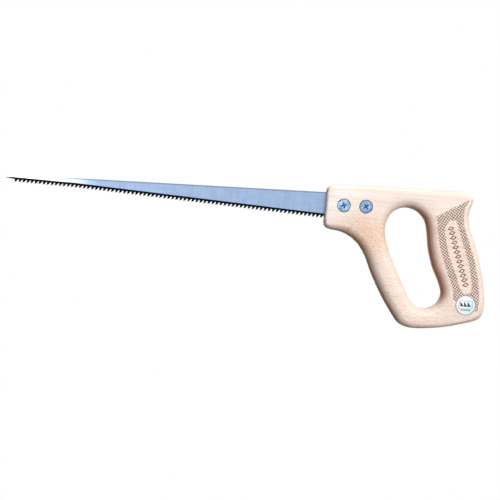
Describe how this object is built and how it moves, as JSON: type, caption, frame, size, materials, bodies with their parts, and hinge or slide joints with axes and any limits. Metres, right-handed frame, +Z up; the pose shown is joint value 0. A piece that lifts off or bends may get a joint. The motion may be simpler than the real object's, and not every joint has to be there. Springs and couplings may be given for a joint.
{
  "type": "compass saw",
  "caption": "Compass saw: a tapered, pointed blade with coarse set teeth in a closed D-shaped wooden handle, held by cross-recessed screws with sleeve nuts.",
  "frame": {"origin": "middle of the grip, halfway through the handle's thickness", "axes": "+X from the blade's tip towards the grip, along the blade's back; +Z up, the blade's back up and its teeth down; the heads of the screws face -Y"},
  "size_m": [0.4516, 0.025, 0.1295],
  "materials": {
    "beech": "clear lacquered beech, satin",
    "blade_steel": "ground and polished spring steel, teeth hardened black",
    "plated_steel": "zinc plated, bright",
    "label_paper": "coated self-adhesive label, glossy"
  },
  "bodies": {
    "handle": {"handle": "beech", "blade": "blade_steel", "label": "label_paper"},
    "front_screw": {"front_screw": "plated_steel"},
    "rear_screw": {"rear_screw": "plated_steel"},
    "front_nut": {"front_nut": "plated_steel"},
    "rear_nut": {"rear_nut": "plated_steel"}
  },
  "joints": [
    {"name": "front_screw_turn", "type": "hinge", "parent": "handle", "child": "front_screw", "pos_m": [-0.108, 0, 0.047], "axis": [0, -1, 0], "range_deg": [0, 5770]},
    {"name": "front_nut_slide", "type": "slide", "parent": "handle", "child": "front_nut", "axis": [0, 1, 0], "range_m": [0, 0.0128]},
    {"name": "rear_screw_turn", "type": "hinge", "parent": "handle", "child": "rear_screw", "pos_m": [-0.0875, 0, 0.047], "axis": [0, -1, 0], "range_deg": [0, 5770]},
    {"name": "rear_nut_slide", "type": "slide", "parent": "handle", "child": "rear_nut", "axis": [0, 1, 0], "range_m": [0, 0.0128]}
  ],
  "couplings": [
    {"joint": "front_screw_turn", "follows": "front_nut_slide", "rad_per_m": 7854},
    {"joint": "rear_screw_turn", "follows": "rear_nut_slide", "rad_per_m": 7854}
  ]
}
